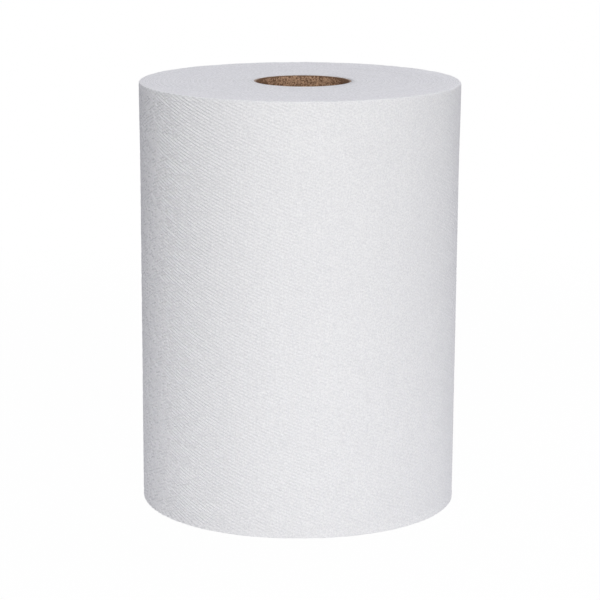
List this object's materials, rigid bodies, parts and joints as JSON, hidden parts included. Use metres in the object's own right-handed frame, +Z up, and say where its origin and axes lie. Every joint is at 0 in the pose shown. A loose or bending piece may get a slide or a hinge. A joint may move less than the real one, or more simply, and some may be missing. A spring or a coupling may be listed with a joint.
{
  "type": "paper towel roll",
  "caption": "Hard-wound white paper towel roll with a fine embossed surface on a spiral-wound cardboard core tube, standing on one end.",
  "frame": {"origin": "on the axis of the core tube's bore, in the plane of the end that the roll stands on", "axes": "+Z up along the bore, +Y to the back where the loose end of the sheet lies, +X to the right in the picture's view"},
  "size_m": [0.1522, 0.1524, 0.2032],
  "materials": {
    "towel_paper": "matte",
    "core_board": "matte"
  },
  "bodies": {
    "root": {"paper_roll": "towel_paper", "core_tube": "core_board"}
  },
  "joints": []
}
